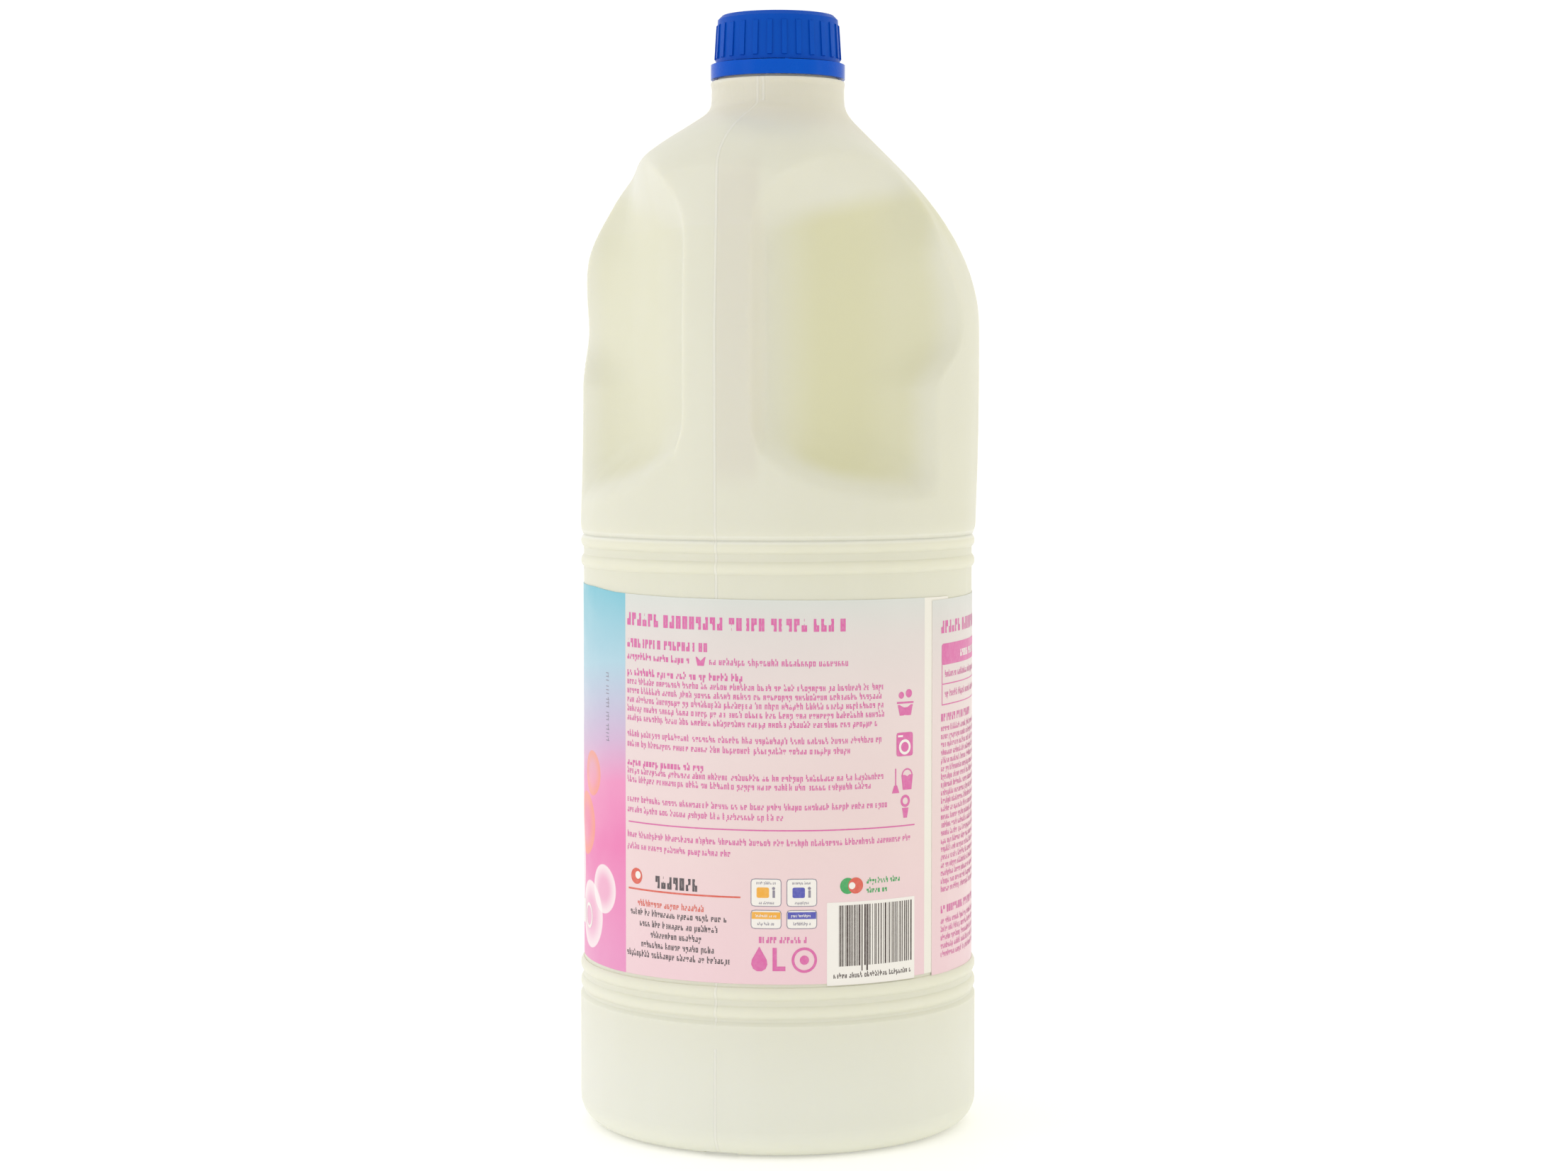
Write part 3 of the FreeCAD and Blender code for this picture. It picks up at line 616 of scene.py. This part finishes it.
def front_panel():
    """The front picture: plain fields where names would be, and a line up its edge."""
    p = Print()
    middle = -114.0
    p.field(middle, 101.0, 62.0, 22.0, 9.0, "white")
    p.field(middle, 101.0, 58.5, 18.8, 7.6, "pink", 1)
    p.field(middle, 101.0, 40.0, 4.6, 2.2, "white", 2)
    p.field(middle, 84.0, 34.0, 3.4, 1.6, "white")
    p.field(middle, 78.0, 24.0, 2.6, 1.2, "white")
    z = 105.0
    while z < 122.0:
        for _ in range(p.chance.choice((3, 5, 7))):
            p.patch(-41.6, -40.1 + 0.3 * p.chance.random(), z, z + 0.22, "grey")
            if p.chance.random() < 0.5:
                p.patch(-40.5, -40.2, z, z + 0.7, "grey")
            z += 0.95
        z += 0.6
    p.ring(-56.0, 57.0, 3.4, 2.6, "white")
    p.patch(-66.0, -61.4, 54.0, 60.4, "white")
    return p.build("front_panel_print")


def wrap():
    """The film itself, once round, its over end eased down past the under end."""
    count = 300
    bpy.ops.object.select_all(action="DESELECT")
    bpy.ops.mesh.primitive_grid_add(x_subdivisions=count, y_subdivisions=16, size=1)
    piece = bpy.context.object
    piece.name = "label_wrap"
    for point in piece.data.vertices:
        turn = UNDER_END + (OVER_END - 360 - UNDER_END) * (0.5 - point.co.x)
        r = FACE
        if turn < -180:
            r += THICK * lap_part(turn + 360)
        a = math.radians(turn)
        up = on_film(turn, LOW + TALL * (point.co.y + 0.5))
        point.co = (r * math.sin(a) / 1000, -r * math.cos(a) / 1000, up / 1000)
    solid = piece.modifiers.new("film", "SOLIDIFY")
    solid.thickness = 0.00013
    solid.offset = -1.0
    bpy.ops.object.modifier_apply(modifier=solid.name)
    bpy.ops.object.shade_smooth_by_angle(angle=math.radians(40))
    piece.data.materials.append(film())
    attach(piece, "bottle_body")
    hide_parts("label")


wrap()
for panel in (use_panel(), safety_panel(), front_panel()):
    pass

# materials on the CAD nodes

FINISHES = {
    "bottle": bottle_plastic(),
    "cap": blue_plastic("cap_plastic", linear(0, 72, 176), linear(4, 82, 190), 0.36, 0.5),
    "tamper_band": blue_plastic("band_plastic", linear(0, 78, 190), linear(0, 88, 204),
                                0.2, 0.3),
    "cap_liner": liner_foam(),
    "bleach_fill": liquid(),
}
for name, finish in FINISHES.items():
    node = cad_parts[name]
    for i in range(len(node.data.materials)):
        node.data.materials[i] = finish

# floor, lights and camera

bpy.ops.object.select_all(action="DESELECT")
bpy.ops.mesh.primitive_plane_add(size=12, location=(0, 0, -0.0002))
floor = bpy.context.object
floor.name = "floor"
floor.data.materials.append(Graph("floor_paint").finish(
    (0.94, 0.94, 0.94, 1), 0.6, None, Emission_Color=(1, 1, 1, 1), Emission_Strength=0.2))

TURN = math.radians(17.5)      # the camera stands this far round from the spine
toward = Vector((math.sin(TURN), -math.cos(TURN), 0))
right = Vector((math.cos(TURN), math.sin(TURN), 0))


def studio():
    """A white room, a little dimmer overhead and on the camera's side."""
    world = bpy.data.worlds.new("studio")
    world.use_nodes = True
    tree = world.node_tree
    coord = tree.nodes.new("ShaderNodeTexCoord")

    def share(direction, low, high, to_low, to_high):
        dot = tree.nodes.new("ShaderNodeVectorMath")
        dot.operation = "DOT_PRODUCT"
        tree.links.new(coord.outputs["Generated"], dot.inputs[0])
        dot.inputs[1].default_value = direction
        part = tree.nodes.new("ShaderNodeMapRange")
        part.interpolation_type = "SMOOTHSTEP"
        tree.links.new(dot.outputs["Value"], part.inputs["Value"])
        part.inputs["From Min"].default_value = low
        part.inputs["From Max"].default_value = high
        part.inputs["To Min"].default_value = to_low
        part.inputs["To Max"].default_value = to_high
        return part.outputs[0]

    def times(a, b):
        node = tree.nodes.new("ShaderNodeMath")
        node.operation = "MULTIPLY"
        tree.links.new(a, node.inputs[0])
        tree.links.new(b, node.inputs[1])
        return node.outputs[0]

    level = times(share(toward, -0.3, 0.9, 1.08, 0.87), share((0, 0, 1), 0.2, 1.0, 1.0, 0.84))
    tree.links.new(level, tree.nodes["Background"].inputs[1])
    tint = tree.nodes.new("ShaderNodeMix")
    tint.data_type = "RGBA"
    tree.links.new(share(right, -1.0, 1.0, 0.0, 1.0), tint.inputs[0])
    tint.inputs[6].default_value = (1.08, 1.08, 1.08, 1.0)
    tint.inputs[7].default_value = (0.97, 0.955, 0.87, 1.0)
    tree.links.new(tint.outputs[2], tree.nodes["Background"].inputs[0])
    return world


def area_light(name, spot, wide, tall, power):
    middle = Vector((0, 0, 0.16))
    light = bpy.data.lights.new(name, "AREA")
    light.shape = "RECTANGLE"
    light.size, light.size_y = wide, tall
    light.energy = power
    thing = bpy.data.objects.new(name, light)
    bpy.context.collection.objects.link(thing)
    thing.location = middle + spot
    thing.rotation_euler = (-spot).to_track_quat("-Z", "Y").to_euler()


bpy.context.scene.world = studio()
area_light("left_box", right * -0.85 + toward * 0.6 + Vector((0, 0, 0.15)), 0.16, 1.0, 0.9)
area_light("right_box", right * 0.95 + toward * 0.26 + Vector((0, 0, 0.15)), 0.16, 1.0, 0.5)
area_light("top_box", Vector((0, 0, 1.0)) + toward * 0.3, 0.7, 0.7, 0.3)

camera = bpy.data.cameras.new("camera")
camera.sensor_width = 36
camera.lens = 72.36
camera.shift_x = 0.0039
camera.shift_y = -0.03
camera.clip_start = 0.05
camera.clip_end = 30
eye = bpy.data.objects.new("camera", camera)
bpy.context.collection.objects.link(eye)
eye.location = toward * 0.8556 + Vector((0, 0, 0.1935))
pitch = math.radians(2.392)
look = -toward * math.cos(pitch) + Vector((0, 0, -math.sin(pitch)))
eye.rotation_euler = look.to_track_quat("-Z", "Y").to_euler()
bpy.context.scene.camera = eye
bpy.context.scene.view_settings.view_transform = "Standard"
